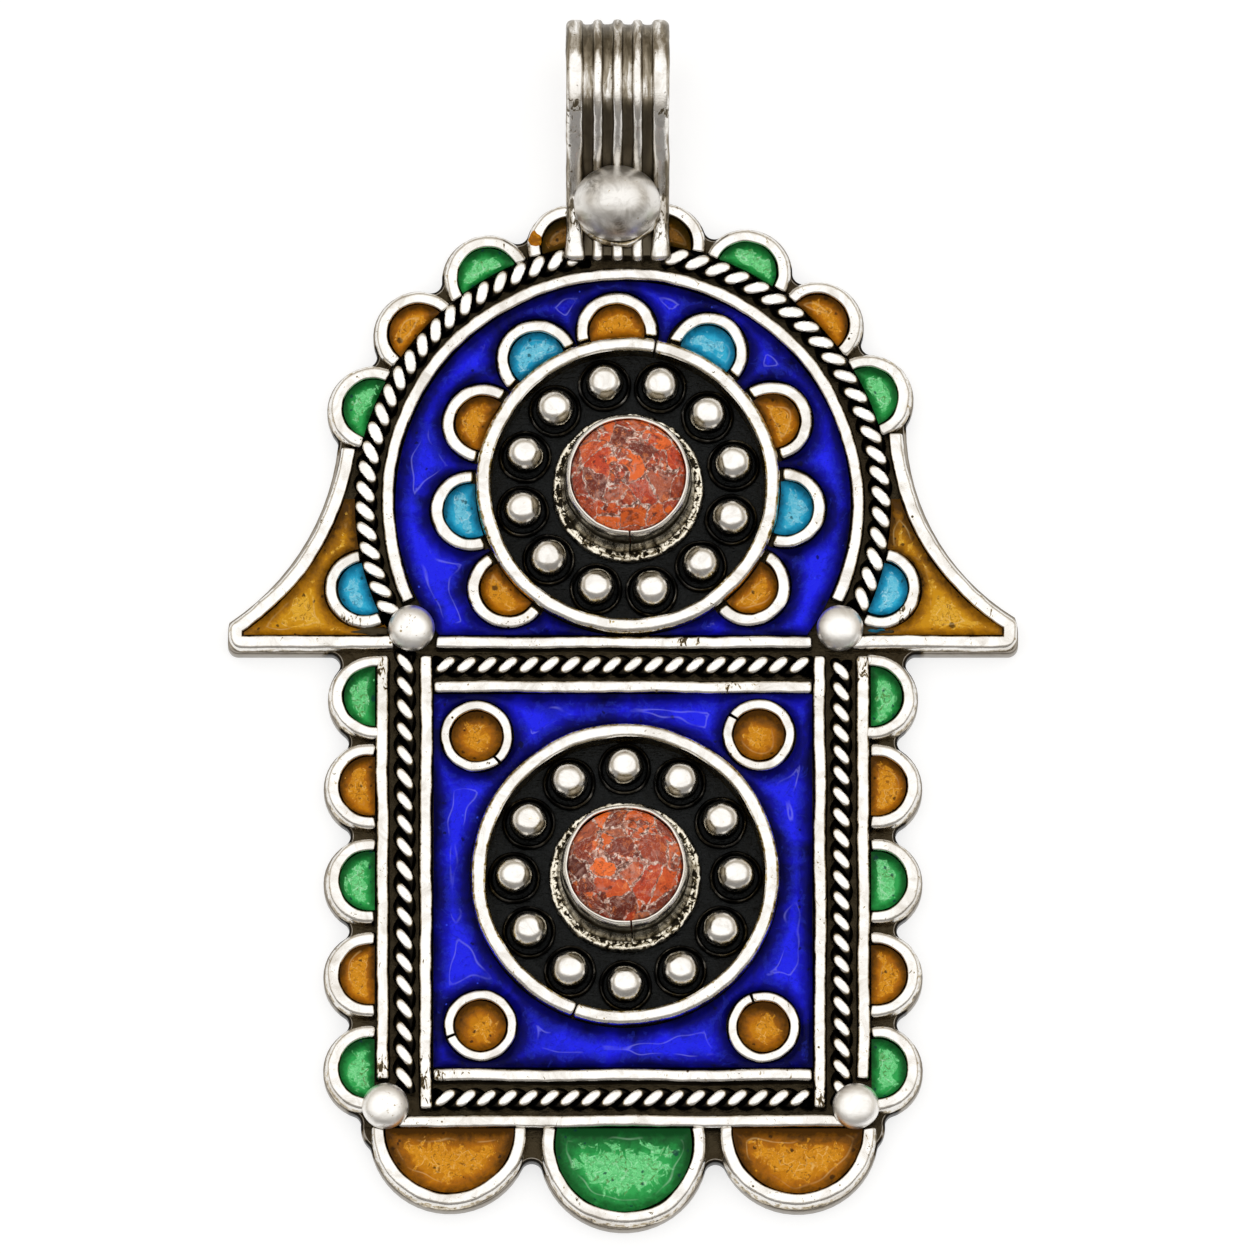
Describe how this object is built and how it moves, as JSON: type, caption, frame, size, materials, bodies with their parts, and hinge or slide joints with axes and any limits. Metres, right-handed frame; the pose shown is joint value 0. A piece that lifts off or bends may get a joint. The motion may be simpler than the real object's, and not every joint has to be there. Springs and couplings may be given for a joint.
{
  "type": "hamsa pendant",
  "caption": "Hand-shaped silver pendant with enamel cells, twisted wire, two bead rosettes round coral cabochons, a scalloped edge and a ribbed bail.",
  "frame": {"origin": "middle of the outline on the back face, which is the lowest plane", "axes": "+Z out of the front face, +Y towards the bail, +X to the wearer's left as the front is seen"},
  "size_m": [0.0592, 0.0918, 0.0098],
  "materials": {
    "silver": "hand-finished silver, polished on top and oxidised dark in the recesses",
    "enamel_blue": "glossy cell enamel",
    "enamel_green": "glossy cell enamel",
    "enamel_amber": "glossy cell enamel",
    "enamel_turquoise": "glossy cell enamel",
    "coral": "polished coral chips in resin"
  },
  "bodies": {
    "root": {"silver_body": "silver", "enamel_arch": "enamel_blue", "enamel_square": "enamel_blue", "enamel_scallop_1": "enamel_green", "enamel_scallop_2": "enamel_amber", "enamel_scallop_3": "enamel_green", "enamel_scallop_4": "enamel_amber", "enamel_scallop_5": "enamel_amber", "enamel_scallop_6": "enamel_green", "enamel_scallop_7": "enamel_amber", "enamel_scallop_8": "enamel_green", "enamel_petal_1": "enamel_amber", "enamel_petal_2": "enamel_turquoise", "enamel_petal_3": "enamel_amber", "enamel_petal_4": "enamel_turquoise", "enamel_petal_5": "enamel_amber", "enamel_petal_6": "enamel_turquoise", "enamel_petal_7": "enamel_amber", "enamel_petal_8": "enamel_turquoise", "enamel_petal_9": "enamel_amber", "enamel_left_1": "enamel_green", "enamel_left_2": "enamel_amber", "enamel_left_3": "enamel_green", "enamel_left_4": "enamel_amber", "enamel_left_5": "enamel_green", "enamel_right_1": "enamel_green", "enamel_right_2": "enamel_amber", "enamel_right_3": "enamel_green", "enamel_right_4": "enamel_amber", "enamel_right_5": "enamel_green", "enamel_wing_left": "enamel_amber", "enamel_wing_scallop_left": "enamel_turquoise", "enamel_wing_right": "enamel_amber", "enamel_wing_scallop_right": "enamel_turquoise", "enamel_foot_left": "enamel_amber", "enamel_foot_middle": "enamel_green", "enamel_foot_right": "enamel_amber", "enamel_corner_1": "enamel_amber", "enamel_corner_2": "enamel_amber", "enamel_corner_3": "enamel_amber", "enamel_corner_4": "enamel_amber", "coral_upper": "coral", "coral_lower": "coral"}
  },
  "joints": []
}
